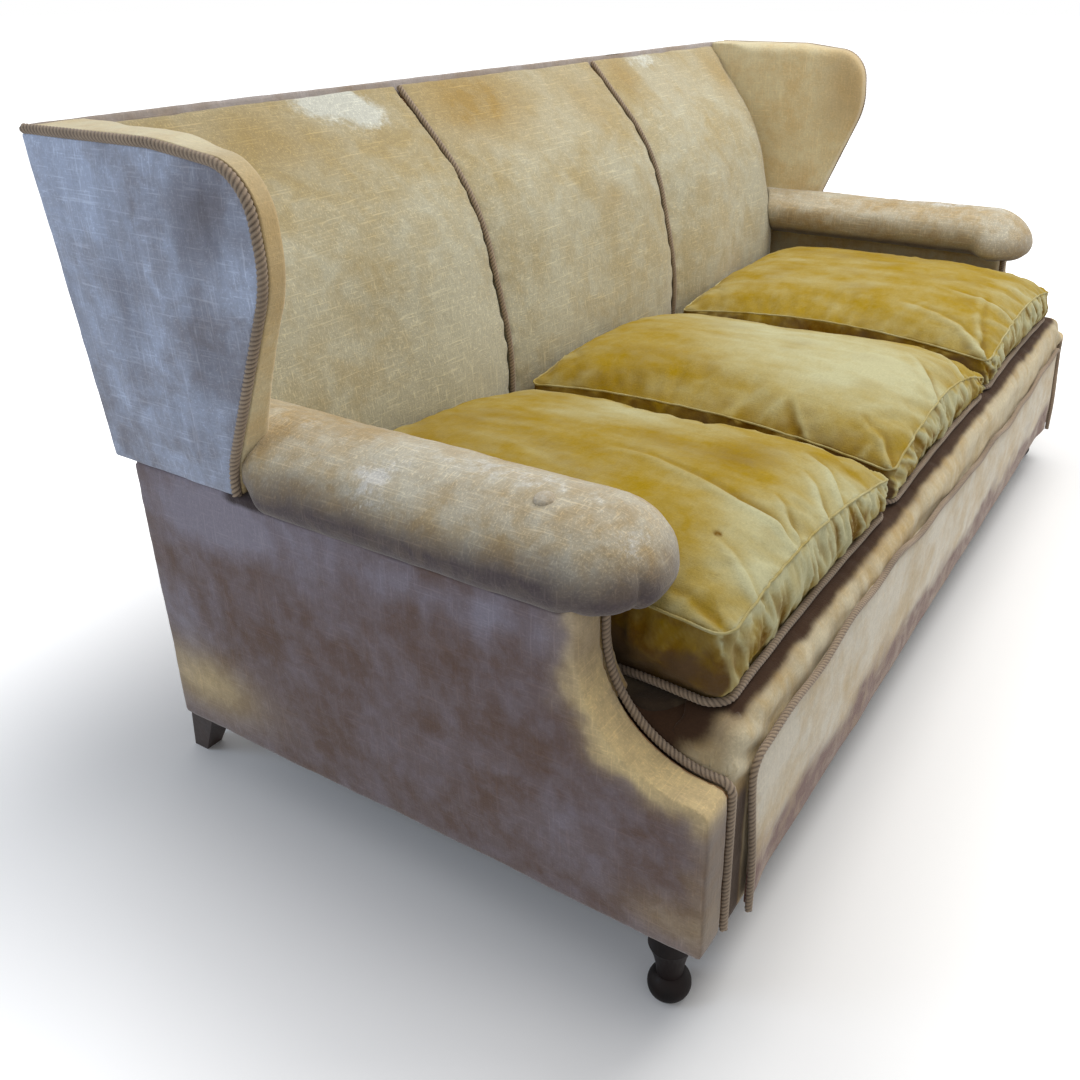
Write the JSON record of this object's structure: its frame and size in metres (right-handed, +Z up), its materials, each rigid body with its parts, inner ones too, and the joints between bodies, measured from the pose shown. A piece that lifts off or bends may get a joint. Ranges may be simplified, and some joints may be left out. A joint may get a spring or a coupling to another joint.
{
  "type": "three-seater sofa",
  "caption": "Long upholstered wing sofa in worn gold velvet with loose boxed seat cushions, rolled arms, scooped arm fronts, braided cord trims and turned front feet.",
  "frame": {"origin": "centre of the footprint on the floor, bottom centre of the bounding box", "axes": "+X along the sofa towards the sitter's left, +Y from the front towards the back, +Z up"},
  "size_m": [1.9126, 0.944, 0.934],
  "materials": {
    "golden_velvet": "worn velvet pile",
    "pale_velvet": "worn, faded velvet pile",
    "mauve_velvet": "faded velvet pile",
    "braided_cord": "braided cord",
    "covered_button": "velvet over metal",
    "jute_web": "woven jute",
    "canvas": "plain weave",
    "dark_stained_wood": "dark stain, worn polish",
    "frame_wood": "planed, unfinished",
    "spring_wire": "coppered wire, dull"
  },
  "bodies": {
    "sofa": {"arm_button": "covered_button", "back_canvas": "canvas", "back_cords": "braided_cord", "back_middle_rail": "frame_wood", "back_panel_centre": "pale_velvet", "back_panel_left": "pale_velvet", "back_panel_right": "pale_velvet", "back_seat_rail": "frame_wood", "back_top_rail": "frame_wood", "back_uprights": "frame_wood", "back_webbing": "jute_web", "border_cord": "braided_cord", "corner_blocks": "frame_wood", "dust_cover": "canvas", "front_border": "pale_velvet", "front_lip": "pale_velvet", "front_rail": "frame_wood", "left_arm_cord": "braided_cord", "left_arm_facing": "pale_velvet", "left_arm_pad": "pale_velvet", "left_arm_rail": "frame_wood", "left_back_post": "dark_stained_wood", "left_front_board": "frame_wood", "left_front_foot": "dark_stained_wood", "left_inside_arm": "golden_velvet", "left_inside_wing": "golden_velvet", "left_outside_arm": "mauve_velvet", "left_outside_wing": "mauve_velvet", "left_side_rail": "frame_wood", "left_wing_board": "frame_wood", "left_wing_cord": "braided_cord", "outside_back_lower": "mauve_velvet", "outside_back_upper": "mauve_velvet", "right_arm_cord": "braided_cord", "right_arm_facing": "pale_velvet", "right_arm_pad": "pale_velvet", "right_arm_rail": "frame_wood", "right_back_post": "dark_stained_wood", "right_front_board": "frame_wood", "right_front_foot": "dark_stained_wood", "right_inside_arm": "golden_velvet", "right_inside_wing": "golden_velvet", "right_outside_arm": "mauve_velvet", "right_outside_wing": "mauve_velvet", "right_side_rail": "frame_wood", "right_wing_board": "frame_wood", "right_wing_cord": "braided_cord", "seat_cross_rails": "frame_wood", "seat_deck": "canvas", "seat_springs": "spring_wire", "seat_webbing": "jute_web", "spring_canvas": "canvas"},
    "left_cushion": {"seat_cushion_left": "golden_velvet", "cushion_cord_left": "braided_cord"},
    "centre_cushion": {"seat_cushion_centre": "golden_velvet", "cushion_cord_centre": "braided_cord"},
    "right_cushion": {"seat_cushion_right": "golden_velvet", "cushion_cord_right": "braided_cord"}
  },
  "joints": [
    {"name": "slide_left_cushion", "type": "slide", "parent": "sofa", "child": "left_cushion", "axis": [0, -1, 0], "range_m": [0, 0.6]},
    {"name": "slide_centre_cushion", "type": "slide", "parent": "sofa", "child": "centre_cushion", "axis": [0, -1, 0], "range_m": [0, 0.6]},
    {"name": "slide_right_cushion", "type": "slide", "parent": "sofa", "child": "right_cushion", "axis": [0, -1, 0], "range_m": [0, 0.6]}
  ]
}
